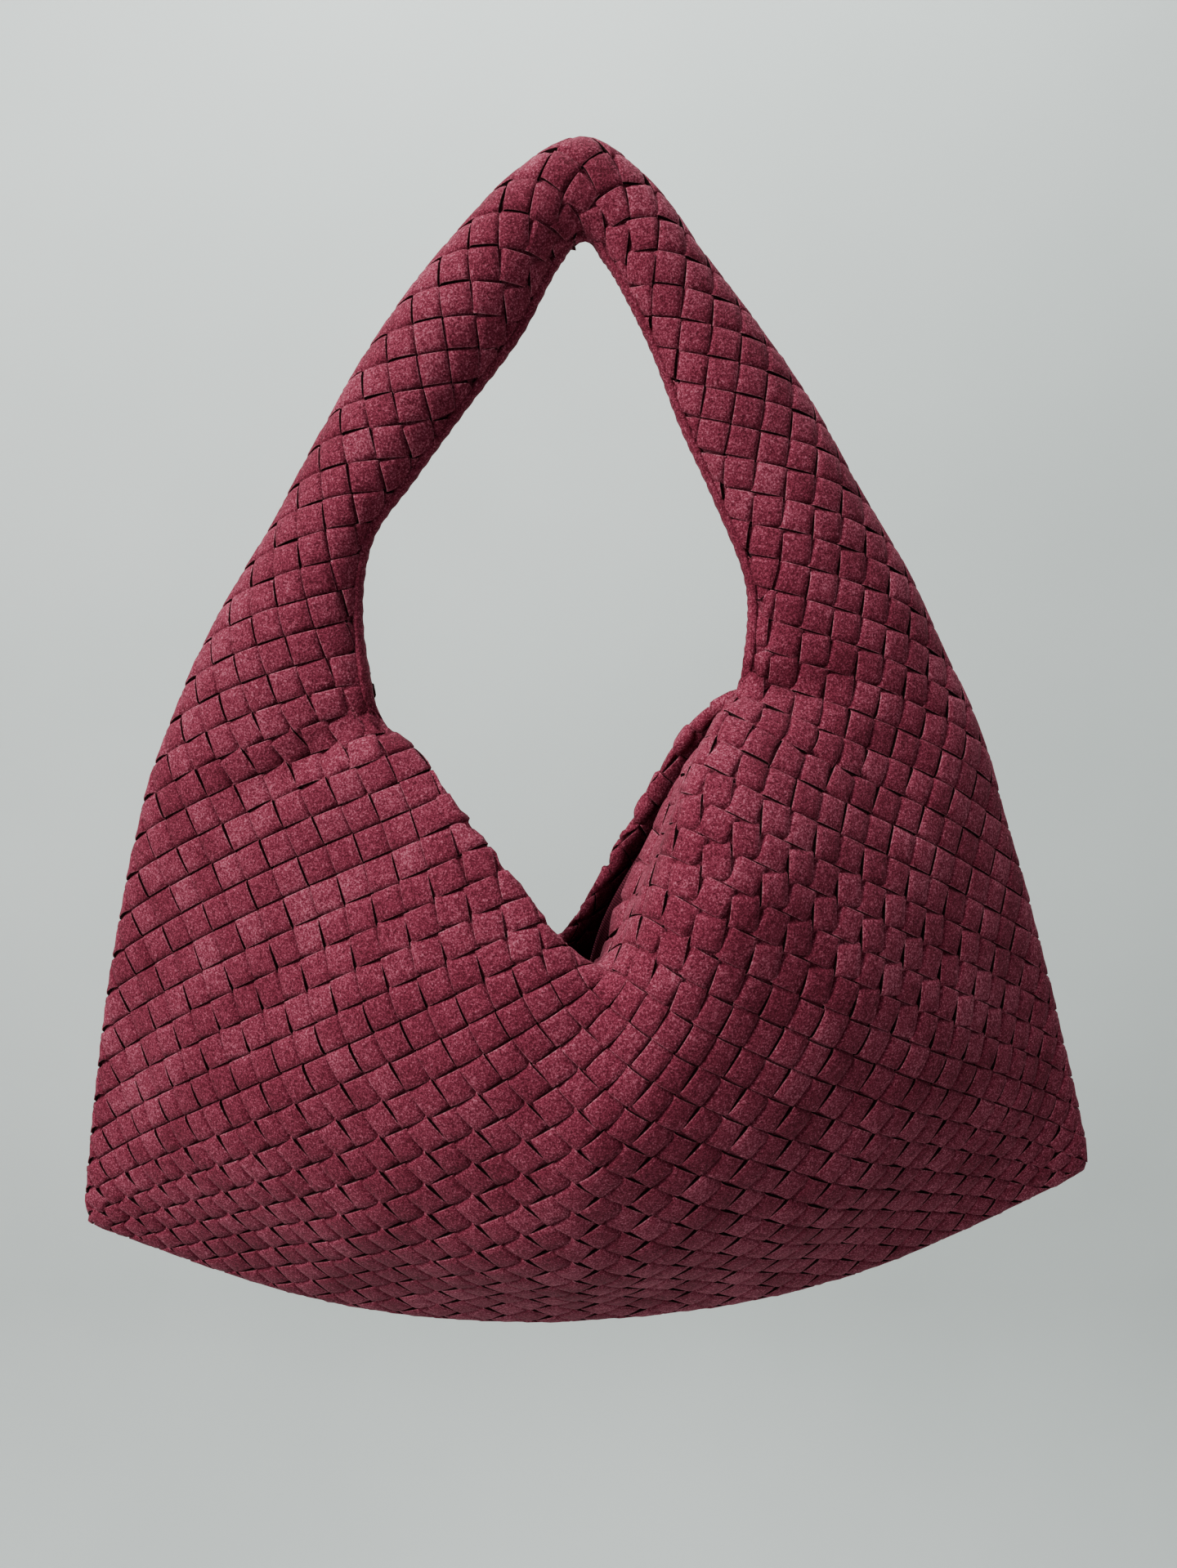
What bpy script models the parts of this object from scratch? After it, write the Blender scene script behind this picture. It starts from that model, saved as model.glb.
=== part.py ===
"""Woven hobo bag, hanging by its handle.

The bag is one soft pouch whose sides run on into a tubular handle. A set of stations goes round
the loop: up the left arm, over the crown, down the right arm and round the pouch. Each station
is a cross-section from the outer fold of the cloth to its inner edge, which is the seam of the
handle or the lip of the mouth.

Metres, +X to the wearer's right as seen from the front, +Y to the back, +Z up. The origin is on
the underside of the handle's crown, where the bag hangs.
"""
import math

import bmesh
import bpy
from mathutils import Vector

# Driving dimensions
CLOTH = 0.003            # two layers of strip
GAP = 0.0003             # left between touching pieces
HINGE_Y = -0.020         # fold line between the handle and the pouch
HINGE_Z = -0.216
SLEEVE_END_R = 0.0345    # the handle's lower ends are rounded about the fold line
POUCH_TOP_R = 0.0350     # and the pouch starts just outside that round
FACING_DEPTH = 0.030     # tape that covers the turned-in edge of the mouth
FACING_THICK = 0.0012
FACING_GAP = 0.0022      # between the tape and the cloth, which isn't flat
FACING_DROP = 0.006      # from the lip down to the tape's upper edge
CORE_WIDTH = 0.024       # webbing that carries the load inside the handle
CORE_THICK = 0.0018
BINDING_WIDTH = 0.008    # folded strip over the seam of the handle
BINDING_THICK = 0.0018
CORE_SHARE = 0.6         # most of a narrow section's width that the webbing takes
BINDING_SHARE = 0.9      # and most of its half thickness that the binding covers
LEFT_OVERRUN = 0.020     # half thickness of the handle where it runs on below the fold line
RIGHT_OVERRUN = 0.021
GUIDE_HALF_WIDTH = 0.35  # guide solids reach past the bag to either side
GUIDE_HEIGHT = 0.30      # and over its crown

STEPS_ARM = 2            # sections between two stations
STEPS_POUCH = 4
SIDE_POINTS = 9          # points across one layer of cloth
DENSE_STEPS = 8          # steps of a curve before its points are spaced evenly
ROUND_STEPS = 24         # sides of the handle's round lower end
CUTTER_SIDES = 48
SMOOTH_ANGLE = 50        # degrees; sharper edges are shaded sharp

# Positions across a section: 0 at the outer fold, 1 at the seam or lip
ACROSS = (0.12, 0.35, 0.65, 0.90, 1.0)

# Arms, from the pouch up to the crown: outer x, z; inner x, z; half thickness; forward lean
LEFT_ARM = (
    (-0.211, -0.222, -0.104, -0.219, 0.020, 0.026),
    (-0.188, -0.177, -0.113, -0.178, 0.018, 0.020),
    (-0.159, -0.133, -0.108, -0.138, 0.016, 0.014),
    (-0.133, -0.090, -0.087, -0.108, 0.015, 0.009),
    (-0.107, -0.049, -0.062, -0.075, 0.015, 0.006),
    (-0.075, -0.009, -0.036, -0.042, 0.015, 0.003),
    (-0.036, 0.029, -0.017, -0.009, 0.015, 0.000),
)
CROWN = (-0.003, 0.044, -0.004, 0.000, 0.014, 0.000)
RIGHT_ARM = (
    (0.028, 0.024, 0.007, -0.008, 0.014, 0.000),
    (0.052, -0.006, 0.018, -0.026, 0.015, 0.002),
    (0.078, -0.037, 0.031, -0.052, 0.015, 0.005),
    (0.104, -0.071, 0.044, -0.085, 0.016, 0.009),
    (0.130, -0.113, 0.059, -0.116, 0.017, 0.014),
    (0.156, -0.153, 0.074, -0.152, 0.018, 0.020),
    (0.176, -0.191, 0.076, -0.178, 0.019, 0.025),
    (0.198, -0.234, 0.071, -0.205, 0.021, 0.030),
)

# Pouch, left to right: outer x, z; inner x, z of the front lip; offset of the back lip;
# then the depth of the front and of the back at each position of ACROSS
POUCH = (
    (-0.211, -0.222, -0.104, -0.219, (0.000, -0.002),
     (-0.014, -0.026, -0.035, -0.036, -0.030), (0.012, 0.012, -0.002, -0.014, -0.023)),
    (-0.232, -0.273, -0.086, -0.235, (0.000, -0.008),
     (-0.014, -0.027, -0.040, -0.046, -0.040), (0.014, 0.018, 0.004, -0.018, -0.031)),
    (-0.259, -0.376, -0.064, -0.257, (0.002, -0.014),
     (-0.013, -0.030, -0.047, -0.058, -0.053), (0.014, 0.022, 0.012, -0.018, -0.036)),
    (-0.284, -0.508, -0.038, -0.291, (-0.002, -0.018),
     (-0.012, -0.042, -0.068, -0.075, -0.070), (0.008, 0.026, 0.024, -0.004, -0.030)),
    (-0.150, -0.557, -0.014, -0.320, (-0.014, -0.012),
     (-0.024, -0.062, -0.088, -0.089, -0.080), (0.013, 0.031, 0.032, 0.008, -0.022)),
    (-0.010, -0.569, 0.010, -0.335, (-0.024, 0.000),
     (-0.027, -0.072, -0.097, -0.094, -0.084), (0.014, 0.034, 0.035, 0.016, -0.014)),
    (0.140, -0.543, 0.031, -0.308, (-0.026, 0.004),
     (-0.024, -0.064, -0.092, -0.096, -0.088), (0.013, 0.032, 0.032, 0.014, -0.006)),
    (0.276, -0.476, 0.045, -0.277, (-0.024, 0.004),
     (-0.012, -0.044, -0.078, -0.092, -0.087), (0.008, 0.026, 0.026, 0.012, -0.003)),
    (0.238, -0.350, 0.052, -0.250, (-0.018, 0.004),
     (-0.018, -0.044, -0.072, -0.084, -0.080), (0.014, 0.022, 0.016, 0.002, -0.006)),
    (0.214, -0.280, 0.062, -0.222, (-0.008, 0.002),
     (-0.017, -0.036, -0.052, -0.060, -0.056), (0.013, 0.016, 0.008, -0.006, -0.016)),
    (0.198, -0.234, 0.071, -0.205, (0.000, 0.000),
     (-0.016, -0.030, -0.040, -0.041, -0.033), (0.012, 0.011, 0.000, -0.014, -0.026)),
)
LEFT_CORNER = 3
RIGHT_CORNER = 7


def clear_scene():
    for item in list(bpy.data.objects):
        bpy.data.objects.remove(item, do_unlink=True)


def make_material(name, color, roughness):
    material = bpy.data.materials.new(name)
    material.use_nodes = True
    shader = material.node_tree.nodes["Principled BSDF"]
    shader.inputs["Base Color"].default_value = (*color, 1.0)
    shader.inputs["Roughness"].default_value = roughness
    shader.inputs["Metallic"].default_value = 0.0
    return material


def spline(points, index, part):
    """Catmull-Rom curve through the points, which are tuples of any one length."""
    last = len(points) - 1
    before = points[max(index - 1, 0)]
    start = points[index]
    end = points[min(index + 1, last)]
    after = points[min(index + 2, last)]
    result = []
    for p0, p1, p2, p3 in zip(before, start, end, after):
        slope_in = (p2 - p0) / 2
        slope_out = (p3 - p1) / 2
        a = 2 * p1 - 2 * p2 + slope_in + slope_out
        b = -3 * p1 + 3 * p2 - 2 * slope_in - slope_out
        result.append(((a * part + b) * part + slope_in) * part + p1)
    return tuple(result)


def sample(points, steps):
    """The spline through the points, with this many steps from each point to the next."""
    rows = []
    for index in range(len(points) - 1):
        rows += [spline(points, index, step / steps) for step in range(steps)]
    rows.append(tuple(float(value) for value in points[-1]))
    return rows


def sample_round_corners(points, corners, steps):
    """As sample, but the curve breaks its direction at each of the corner points."""
    bounds = [0, *corners, len(points) - 1]
    rows = []
    for first, last in zip(bounds, bounds[1:]):
        rows += sample(points[first:last + 1], steps)[:-1]
    rows.append(tuple(float(value) for value in points[-1]))
    return rows


def smooth_line(points, count):
    """Evenly spaced points, by length, along the spline through the 2-D or 3-D points."""
    dense = [Vector(row) for row in sample([tuple(p) for p in points], DENSE_STEPS)]
    lengths = [0.0]
    for here, there in zip(dense, dense[1:]):
        lengths.append(lengths[-1] + (there - here).length)
    line = []
    index = 0
    for step in range(count):
        target = lengths[-1] * step / (count - 1)
        while index < len(dense) - 2 and lengths[index + 1] < target:
            index += 1
        span = max(lengths[index + 1] - lengths[index], 1e-9)
        line.append(dense[index].lerp(dense[index + 1], (target - lengths[index]) / span))
    return line


def place(outer, inner, across, depth):
    """World point at this fraction from the outer fold to the inner edge, at this depth."""
    x = outer[0] + (inner[0] - outer[0]) * across
    z = outer[1] + (inner[1] - outer[1]) * across
    return Vector((x, depth, z))


def arm_ring(station, shrink):
    """Closed ring round one section of the handle, smaller by shrink all round."""
    outer = Vector(station[0:2])
    inner = Vector(station[2:4])
    thick, lean = station[4:6]
    middle = (outer + inner) / 2
    half = (inner - outer) / 2
    reach = 1 - shrink / half.length
    ring = []
    for step in range(2 * SIDE_POINTS):
        angle = math.pi * step / SIDE_POINTS
        across = -math.cos(angle) * reach
        spot = middle + half * across
        depth = -(thick - shrink) * math.sin(angle) - lean * (1 + across) / 2
        ring.append(Vector((spot.x, depth, spot.y)))
    return ring


def arm_stations():
    """Sections of the whole handle, from the left fold line over the crown to the right one."""
    below_left = pouch_as_arm(POUCH[1], LEFT_OVERRUN)
    below_right = pouch_as_arm(POUCH[-2], RIGHT_OVERRUN)
    rows = (below_left, *LEFT_ARM, CROWN, *RIGHT_ARM, below_right)
    return sample(rows, STEPS_ARM)


def pouch_as_arm(station, thick):
    outer_x, outer_z, inner_x, inner_z = station[0:4]
    lean = -(station[5][-1] + station[6][-1]) / 2
    return (outer_x, outer_z, inner_x, inner_z, thick, lean)


def mesh_object(name, mesh_data, material):
    """Object from a bmesh, with its faces turned outwards."""
    bmesh.ops.recalc_face_normals(mesh_data, faces=mesh_data.faces)
    if mesh_data.calc_volume(signed=True) < 0:
        bmesh.ops.reverse_faces(mesh_data, faces=mesh_data.faces)
    mesh = bpy.data.meshes.new(name)
    mesh_data.to_mesh(mesh)
    mesh_data.free()
    mesh.materials.append(material)
    mesh.shade_smooth()
    mesh.set_sharp_from_angle(angle=math.radians(SMOOTH_ANGLE))
    item = bpy.data.objects.new(name, mesh)
    bpy.context.collection.objects.link(item)
    return item


def grid_faces(mesh_data, rows, closed):
    """Quads between neighbouring rows of vertices."""
    for low, high in zip(rows, rows[1:]):
        count = len(low)
        for index in range(count if closed else count - 1):
            after = (index + 1) % count
            mesh_data.faces.new((low[index], low[after], high[after], high[index]))


def tube_solid(name, outer_rings, inner_rings, material):
    """Open-ended tube with a wall between the outer and the inner rings."""
    mesh_data = bmesh.new()
    outer = [[mesh_data.verts.new(point) for point in ring] for ring in outer_rings]
    inner = [[mesh_data.verts.new(point) for point in ring] for ring in inner_rings]
    grid_faces(mesh_data, outer, True)
    grid_faces(mesh_data, inner, True)
    for end in (0, -1):
        grid_faces(mesh_data, [outer[end], inner[end]], True)
    return mesh_object(name, mesh_data, material)


def shell_solid(name, face_rows, back_rows, material):
    """Sheet with thickness: two matching grids of points, closed along their borders."""
    mesh_data = bmesh.new()
    face = [[mesh_data.verts.new(point) for point in row] for row in face_rows]
    back = [[mesh_data.verts.new(point) for point in row] for row in back_rows]
    grid_faces(mesh_data, face, False)
    grid_faces(mesh_data, back, False)
    for end in (0, -1):
        grid_faces(mesh_data, [face[end], back[end]], False)
        face_side = [row[end] for row in face]
        back_side = [row[end] for row in back]
        grid_faces(mesh_data, [face_side, back_side], False)
    return mesh_object(name, mesh_data, material)


def pouch_sections():
    """Sections round the pouch, as (outer, front lip, back lip, front depths, back depths)."""
    outers = sample_round_corners([row[0:2] for row in POUCH], (LEFT_CORNER, RIGHT_CORNER),
                                  STEPS_POUCH)
    lips = sample([row[2:4] for row in POUCH], STEPS_POUCH)
    shifts = sample([row[4] for row in POUCH], STEPS_POUCH)
    fronts = sample([row[5] for row in POUCH], STEPS_POUCH)
    backs = sample([row[6] for row in POUCH], STEPS_POUCH)
    sections = []
    for outer, lip, shift, front, back in zip(outers, lips, shifts, fronts, backs):
        back_lip = (lip[0] + shift[0], lip[1] + shift[1])
        sections.append((outer, lip, back_lip, front, back))
    return sections


def layer_line(section, side):
    """Outer face of one layer of cloth, from the fold to the lip; side is -1 front, 1 back."""
    outer, front_lip, back_lip, front, back = section
    fold = place(outer, front_lip, 0.0, side * GAP / 2)
    if side < 0:
        inner, depths, mirror = front_lip, front, back
    else:
        inner, depths, mirror = back_lip, back, front
    points = [fold]
    points += [place(outer, inner, across, depth) for across, depth in zip(ACROSS, depths)]
    lead = place(outer, inner, ACROSS[0], mirror[0])
    line = smooth_line([lead, *points], 3 * SIDE_POINTS)
    line = [point for point in line if (point.y - fold.y) * side > 0.0]
    return smooth_line([fold, *line[::2], points[-1]], SIDE_POINTS)


def inward(section, line, side, amount):
    """The same line moved into the bag by this amount, square to itself."""
    outer, front_lip, back_lip = section[0:3]
    inner = front_lip if side < 0 else back_lip
    along = Vector((inner[0] - outer[0], 0.0, inner[1] - outer[1])).normalized()
    moved = []
    for index, point in enumerate(line):
        before = line[max(index - 1, 0)]
        after = line[min(index + 1, len(line) - 1)]
        step = after - before
        run = step.dot(along)
        rise = step.y
        length = math.hypot(run, rise)
        shift = along * (-side * -rise / length) + Vector((0.0, -side * run / length, 0.0))
        if index == 0:
            shift = along
        moved.append(point + shift * amount)
    return moved


def add_panel(name, sections, side, material):
    faces = [layer_line(section, side) for section in sections]
    backs = [inward(section, line, side, CLOTH) for section, line in zip(sections, faces)]
    return shell_solid(name, faces, backs, material)


def add_facing(name, sections, side, material):
    """Tape inside the lip, from just under its edge down into the pouch."""
    faces = []
    backs = []
    for section in sections:
        line = layer_line(section, side)
        near = inward(section, line, side, CLOTH + FACING_GAP)
        far = inward(section, line, side, CLOTH + FACING_GAP + FACING_THICK)
        faces.append(cut_line(near, FACING_DROP, FACING_DEPTH))
        backs.append(cut_line(far, FACING_DROP, FACING_DEPTH))
    return shell_solid(name, faces, backs, material)


def cut_line(line, start, length):
    """Three points of the line, measured back from its lip end."""
    marks = []
    for target in (start, start + length / 2, start + length):
        walked = 0.0
        for here, there in zip(reversed(line), list(reversed(line))[1:]):
            step = (there - here).length
            if walked + step >= target:
                marks.append(here.lerp(there, (target - walked) / step))
                break
            walked += step
    return marks


def add_cylinder_cutter():
    bpy.ops.mesh.primitive_cylinder_add(vertices=CUTTER_SIDES, radius=POUCH_TOP_R,
                                        depth=2 * GUIDE_HALF_WIDTH,
                                        location=(0, HINGE_Y, HINGE_Z),
                                        rotation=(0, math.pi / 2, 0))
    cutter = bpy.context.object
    cutter.name = "pouch_top_cutter"
    hide_guide(cutter)
    return cutter


def add_sleeve_guide():
    """Solid that holds the handle: straight sides, and a round bottom about the fold line."""
    profile = [(SLEEVE_END_R, GUIDE_HEIGHT)]
    for step in range(ROUND_STEPS + 1):
        angle = math.pi * step / ROUND_STEPS
        profile.append((SLEEVE_END_R * math.cos(angle), -SLEEVE_END_R * math.sin(angle)))
    profile.append((-SLEEVE_END_R, GUIDE_HEIGHT))
    mesh_data = bmesh.new()
    ends = []
    for x in (-GUIDE_HALF_WIDTH, GUIDE_HALF_WIDTH):
        ends.append([mesh_data.verts.new((x, HINGE_Y + y, HINGE_Z + z)) for y, z in profile])
        mesh_data.faces.new(ends[-1])
    grid_faces(mesh_data, ends, True)
    guide = mesh_object("sleeve_end_guide", mesh_data, make_material("guide", (1, 1, 1), 1.0))
    hide_guide(guide)
    return guide


def hide_guide(item):
    item.hide_render = True
    item.display_type = "WIRE"


def add_boolean(item, cutter, operation):
    modifier = item.modifiers.new(operation.lower(), "BOOLEAN")
    modifier.operation = operation
    modifier.object = cutter
    modifier.solver = "EXACT"


def add_handle_sleeve(stations, material):
    outer = [arm_ring(station, 0.0) for station in stations]
    inner = [arm_ring(station, CLOTH) for station in stations]
    return tube_solid("handle_sleeve", outer, inner, material)


def frame_of(station):
    """Middle of a handle section, and its direction across."""
    outer = Vector((station[0], 0.0, station[1]))
    inner = Vector((station[2], -station[5], station[3]))
    return (outer + inner) / 2, (inner - outer).normalized()


def add_handle_core(stations, material):
    """Flat webbing along the middle of the sleeve."""
    faces = []
    backs = []
    for station in stations:
        middle, across = frame_of(station)
        span = (Vector(station[0:2]) - Vector(station[2:4])).length
        half = min(CORE_WIDTH, span * CORE_SHARE) / 2
        thick = Vector((0.0, CORE_THICK / 2, 0.0))
        row = [middle - across * half, middle, middle + across * half]
        faces.append([point - thick for point in row])
        backs.append([point + thick for point in row])
    return shell_solid("handle_core_webbing", faces, backs, material)


def add_binding(name, stations, material):
    """Folded strip that covers the seam along the handle's inner edge."""
    faces = []
    backs = []
    for station in stations:
        ring = arm_ring(station, -GAP)
        proud = arm_ring(station, -GAP - BINDING_THICK)
        width = min(BINDING_WIDTH / 2 / station[4], BINDING_SHARE)
        faces.append(near_seam(ring, width))
        backs.append(near_seam(proud, width))
    return shell_solid(name, faces, backs, material)


def near_seam(ring, part):
    """Five points of the ring about its inner edge, which is its point number SIDE_POINTS."""
    points = []
    for step in (-2.0, -1.0, 0.0, 1.0, 2.0):
        spot = SIDE_POINTS + step * part
        low = math.floor(spot)
        points.append(ring[low].lerp(ring[(low + 1) % len(ring)], spot - low))
    return points


def build():
    clear_scene()
    suede = (0.20, 0.035, 0.055)
    dark = (0.05, 0.012, 0.018)
    arms = arm_stations()
    pouch = pouch_sections()

    front = add_panel("front_panel", pouch, -1, make_material("suede_front", suede, 0.9))
    back = add_panel("back_panel", pouch, 1, make_material("suede_back", suede, 0.9))
    trimmed = pouch[STEPS_POUCH:-STEPS_POUCH]
    facing = make_material("mouth_facing", dark, 0.85)
    front_facing = add_facing("front_mouth_facing", trimmed, -1, facing)
    back_facing = add_facing("back_mouth_facing", trimmed, 1, facing.copy())
    cutter = add_cylinder_cutter()
    for item in (front, back, front_facing, back_facing):
        add_boolean(item, cutter, "DIFFERENCE")

    sleeve = add_handle_sleeve(arms, make_material("suede_handle", suede, 0.9))
    guide = add_sleeve_guide()
    add_boolean(sleeve, guide, "INTERSECT")
    inner_arms = arms[STEPS_ARM:-STEPS_ARM]
    add_handle_core(inner_arms, make_material("webbing", (0.02, 0.02, 0.02), 0.8))
    binding = make_material("seam_binding", suede, 0.9)
    left_count = (len(LEFT_ARM) - 1) * STEPS_ARM
    add_binding("left_handle_binding", inner_arms[:left_count], binding)
    add_binding("right_handle_binding", inner_arms[left_count + 2 * STEPS_ARM:], binding.copy())


build()
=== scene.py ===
import math

import bmesh
import bpy
import numpy as np
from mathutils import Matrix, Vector


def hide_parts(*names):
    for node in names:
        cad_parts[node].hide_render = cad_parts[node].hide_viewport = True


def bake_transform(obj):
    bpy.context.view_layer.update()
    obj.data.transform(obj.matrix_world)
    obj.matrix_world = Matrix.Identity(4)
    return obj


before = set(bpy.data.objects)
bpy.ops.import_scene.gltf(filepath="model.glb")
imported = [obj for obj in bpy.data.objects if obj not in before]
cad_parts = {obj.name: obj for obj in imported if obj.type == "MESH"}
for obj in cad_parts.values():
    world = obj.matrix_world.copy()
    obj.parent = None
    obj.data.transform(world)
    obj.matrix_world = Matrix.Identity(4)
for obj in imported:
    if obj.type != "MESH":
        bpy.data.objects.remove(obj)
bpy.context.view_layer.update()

# ---- driving sizes, in metres

STRIP = 0.0155  # strip pitch
STRIP_THICK = 0.0023
STRIP_FILL = 0.945  # strip width over strip pitch
HALF_CELL = STRIP / math.sqrt(2)  # one row or column of the weave's diamond net
FOLD_COLUMN = 26  # columns from the middle to a side fold
MOUTH_ROW = 33  # rows from the bottom fold to the corners of the mouth
JOIN_ROW = 60  # row where the two arms of the handle meet
MOUTH_DEPTH = 6.6  # rows from the mouth's corners down to its lowest point
MID_SURFACE = -0.0016  # middle of the weave, from the outer face of the solids
TAPE_WIDTH = 0.014  # tape over the strips' cut ends, inside the mouth
TAPE_THICK = 0.0009
TAPE_LIFT = 0.0009  # clear of the strips that it lies on
BINDING_REACH = 0.0048  # the handle's binding, from the seam to either edge
BINDING_THICK = 0.0018
BINDING_LIFT = 0.0006

LEFT_SIDE = 0.324  # length of the side folds, from the bottom to the mouth's corners
RIGHT_SIDE = 0.345

STEPS = 16  # grid rows between two stations
COLUMNS = 144  # grid columns from the fold, over the lip, to the hem's end
SPARE_HEM = 0.012  # cloth past the hem that is trimmed off again
RELAX_STEPS = 500
RUN_STOPS = 5  # points on the way between two nodes, over a bend
EDGE_PULL = 0.9  # share of each kind of correction that one step makes
SMOOTH_PULL = 0.10
DIAGONAL_PULL = 0.25
DIAGONALS = (1.2, 1.62)  # a cell's diagonals, shortest and longest, over the strip pitch
TORN = 1.6  # a cell with a side this many strips long is left out
SEED = 11
GROUPS = 6  # meshes that the strips are shared out over

# ---- shape of the hanging bag

ACROSS = (0.12, 0.35, 0.65, 0.90, 1.0)

# Arms, as in the solids: outer x, z; inner x, z; half thickness; forward lean
CROWN = (-0.003, 0.044, -0.004, 0.000, 0.014, 0.000)
LEFT_ARM = (
    (-0.036, 0.029, -0.017, -0.009, 0.015, 0.000),
    (-0.075, -0.009, -0.036, -0.042, 0.015, 0.003),
    (-0.107, -0.049, -0.062, -0.075, 0.015, 0.006),
    (-0.133, -0.090, -0.087, -0.108, 0.015, 0.009),
    (-0.159, -0.133, -0.108, -0.138, 0.016, 0.014),
    (-0.188, -0.177, -0.113, -0.178, 0.018, 0.020),
)
RIGHT_ARM = (
    (0.176, -0.191, 0.076, -0.178, 0.019, 0.025),
    (0.156, -0.153, 0.074, -0.152, 0.018, 0.020),
    (0.130, -0.113, 0.059, -0.116, 0.017, 0.014),
    (0.104, -0.071, 0.044, -0.085, 0.016, 0.009),
    (0.078, -0.037, 0.031, -0.052, 0.015, 0.005),
    (0.052, -0.006, 0.018, -0.026, 0.015, 0.002),
    (0.028, 0.024, 0.007, -0.008, 0.014, 0.000),
)

# Pouch, left to right: outer x, z; front lip x, z; offset of the back lip; depths of the front
# and of the back at ACROSS; radius and depth of the front lip's turn-in
POUCH = (
    (-0.211, -0.222, -0.104, -0.219, (0.000, -0.002),
     (-0.014, -0.026, -0.035, -0.036, -0.030), (0.012, 0.012, -0.002, -0.014, -0.023), 0.003, 0.018),
    (-0.232, -0.273, -0.086, -0.235, (0.000, -0.008),
     (-0.014, -0.027, -0.040, -0.046, -0.040), (0.014, 0.018, 0.004, -0.018, -0.031), 0.0032, 0.026),
    (-0.259, -0.376, -0.064, -0.257, (0.002, -0.014),
     (-0.013, -0.030, -0.047, -0.058, -0.053), (0.014, 0.022, 0.012, -0.018, -0.036), 0.0032, 0.036),
    (-0.284, -0.508, -0.038, -0.291, (-0.002, -0.018),
     (-0.012, -0.042, -0.068, -0.075, -0.070), (0.008, 0.026, 0.024, -0.004, -0.030), 0.004, 0.040),
    (-0.150, -0.557, -0.014, -0.320, (-0.014, -0.012),
     (-0.024, -0.062, -0.088, -0.089, -0.080), (0.013, 0.031, 0.032, 0.008, -0.022), 0.005, 0.040),
    (-0.010, -0.569, 0.010, -0.335, (-0.024, 0.000),
     (-0.027, -0.072, -0.097, -0.094, -0.084), (0.014, 0.034, 0.035, 0.016, -0.014), 0.008, 0.042),
    (0.140, -0.543, 0.031, -0.308, (-0.026, 0.004),
     (-0.024, -0.064, -0.092, -0.096, -0.088), (0.013, 0.032, 0.032, 0.014, -0.006), 0.015, 0.048),
    (0.276, -0.476, 0.045, -0.277, (-0.024, 0.004),
     (-0.012, -0.044, -0.078, -0.092, -0.087), (0.008, 0.026, 0.026, 0.012, -0.003), 0.019, 0.050),
    (0.238, -0.350, 0.052, -0.250, (-0.018, 0.004),
     (-0.018, -0.044, -0.072, -0.084, -0.080), (0.014, 0.022, 0.016, 0.002, -0.006), 0.018, 0.045),
    (0.214, -0.280, 0.062, -0.222, (-0.008, 0.002),
     (-0.017, -0.036, -0.052, -0.060, -0.056), (0.013, 0.016, 0.008, -0.006, -0.016), 0.010, 0.030),
    (0.198, -0.234, 0.071, -0.205, (0.000, 0.000),
     (-0.016, -0.030, -0.040, -0.041, -0.033), (0.012, 0.011, 0.000, -0.014, -0.026), 0.003, 0.018),
)
# From the front lip's right half the cloth runs back to the back panel before it turns down:
# station, share of this, and offset of the far bend from the lip
GUSSET = {
    11: (0.30, (-0.012, 0.030, -0.012)), 12: (0.75, (-0.026, 0.058, -0.012)),
    13: (1.0, (-0.026, 0.070, -0.010)), 14: (1.0, (-0.018, 0.072, -0.003)),
    15: (1.0, (-0.011, 0.062, -0.001)), 16: (0.9, (-0.006, 0.036, -0.004)),
}
GUSSET_END = (0.0, -0.005, -0.020)
ARM_HEM = 0.016
ARM_HEM_SPREAD = 0.0025  # between the two turned-in edges inside the handle
BACK_HEM = 0.040
BACK_ROLL = 0.0032
ARM_ROLL = 0.001
ROLL_PULL = 1.3  # how far the turn over the lip bulges, over its radius
ROLL_RETURN = 0.8
ARM_FADE = 0.3  # stations over which the pouch's hem becomes the handle's
CREASES = (  # in the front: line's start and end (x, z), depth and width
    ((-0.108, -0.222), (-0.175, -0.262), 0.007, 0.010),
    ((0.062, -0.204), (0.125, -0.207), 0.007, 0.008),
)
WAVE = 0.0011  # heights of the cloth's slow waves
FINE_WAVE = 0.0007
LEFT_CORNER = 10  # stations of the pouch's bottom corners, from the crown
RIGHT_CORNER = 14
LEFT_MOUTH = 7  # stations of the mouth's corners
RIGHT_MOUTH = 17
FRONT, BACK = 0, 1
DEPTH_AXIS = np.array([0, 1.0, 0])
PANEL_STEPS = 14  # curve steps between two of a section's given points
TURN_STEPS = 24  # and over the lip
HEM_POINTS = 24  # points along the turned-in hem
HEM_BEND = 12  # the one where a gusset turns down
SOFTENING = 12  # passes that round the hem's bends
CORNER_EASING = 60
CORNER_REACH = 168  # easing passes at the hem's end, less towards the fold


def arm_station(outer_x, outer_z, inner_x, inner_z, thick, lean):
    """Station of the handle: an oval section that leans forward towards its inner edge."""
    round_part = [2 * math.sqrt(s * (1 - s)) for s in ACROSS]
    front = [-thick * r - lean * s for r, s in zip(round_part, ACROSS)]
    back = [thick * r - lean * s for r, s in zip(round_part, ACROSS)]
    return [outer_x, outer_z, inner_x, inner_z, 0, 0, *front, *back, 0.002, ARM_HEM, ARM_HEM]


def pouch_station(outer_x, outer_z, inner_x, inner_z, shift, front, back, roll, hem):
    return [outer_x, outer_z, inner_x, inner_z, *shift, *front, *back, roll, hem,
            min(BACK_HEM, hem)]


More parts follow.
